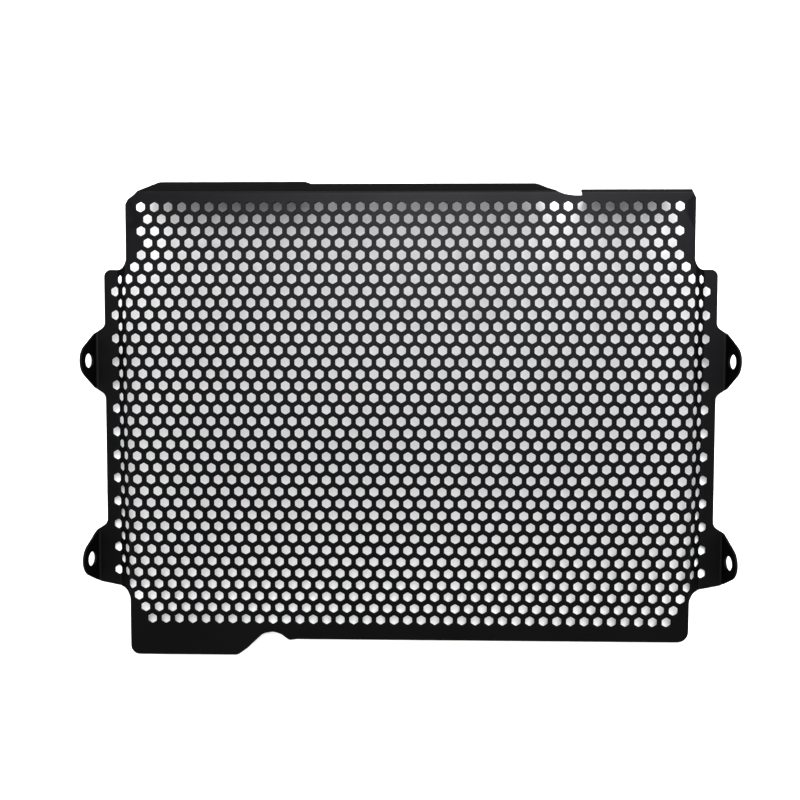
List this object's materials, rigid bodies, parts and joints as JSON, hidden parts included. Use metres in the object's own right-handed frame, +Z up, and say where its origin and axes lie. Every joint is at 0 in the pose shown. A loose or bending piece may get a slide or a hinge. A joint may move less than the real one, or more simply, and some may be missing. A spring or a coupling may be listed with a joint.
{
  "type": "motorcycle radiator guard",
  "caption": "Folded sheet guard that covers a motorcycle radiator: honeycomb vents, stepped side wings with bolt lugs, and a folded top flange.",
  "frame": {"origin": "bottom centre of the box of the guard as it lies, front face up", "axes": "+X to the right seen from the front, +Y up the guard towards its top flange, +Z up out of its front face, which is tipped 3.6 degrees because the flange props it"},
  "size_m": [0.3324, 0.2478, 0.023],
  "materials": {
    "coated_sheet": "satin black powder coat"
  },
  "bodies": {
    "root": {"guard_sheet": "coated_sheet"}
  },
  "joints": []
}
